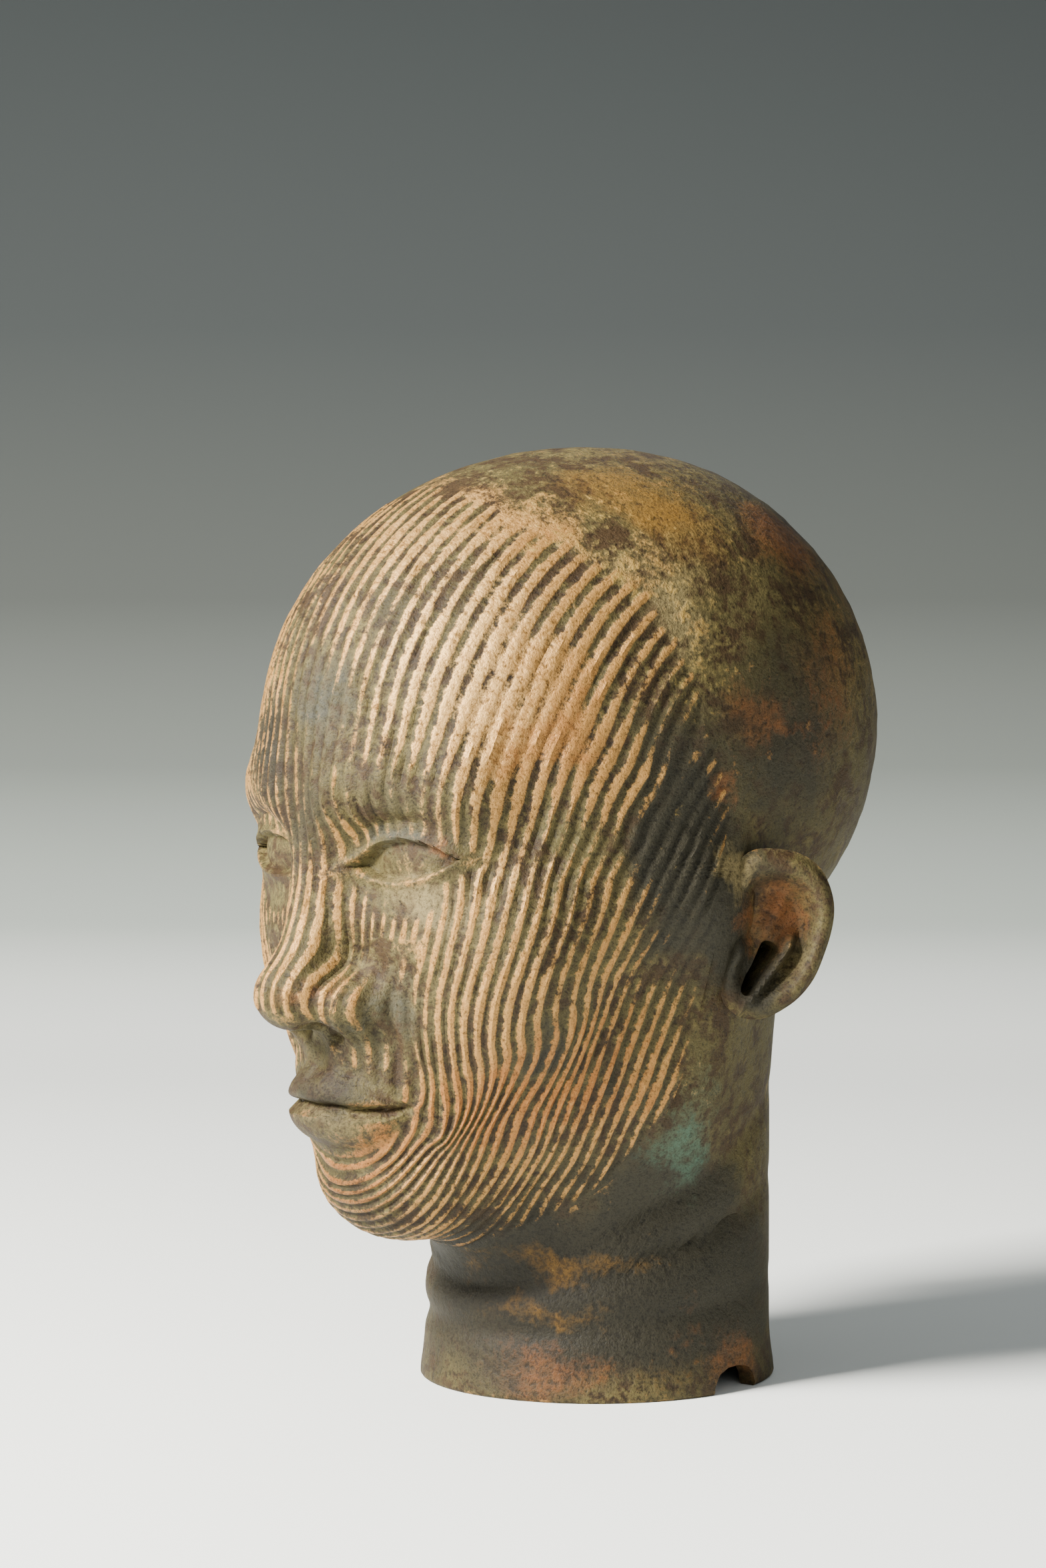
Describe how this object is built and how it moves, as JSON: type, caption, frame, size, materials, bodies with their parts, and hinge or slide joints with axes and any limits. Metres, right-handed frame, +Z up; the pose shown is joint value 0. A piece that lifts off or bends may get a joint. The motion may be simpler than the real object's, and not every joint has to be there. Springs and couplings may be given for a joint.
{
  "type": "cast copper-alloy portrait-style head with ridged face",
  "caption": "Hollow cast bronze head, open under the neck, with fine vertical ridges over the face, plain scalp, creased neck and a notch in the rim.",
  "frame": {"origin": "on the floor under the middle of the head's outline, at the level of the neck rim", "axes": "+Z up, the face looks along -Y, +X is the head's own left side"},
  "size_m": [0.1896, 0.2292, 0.2995],
  "materials": {
    "bronze": "aged cast copper alloy with brown, grey-green and tan patina"
  },
  "bodies": {
    "root": {"bronze_head": "bronze"}
  },
  "joints": []
}
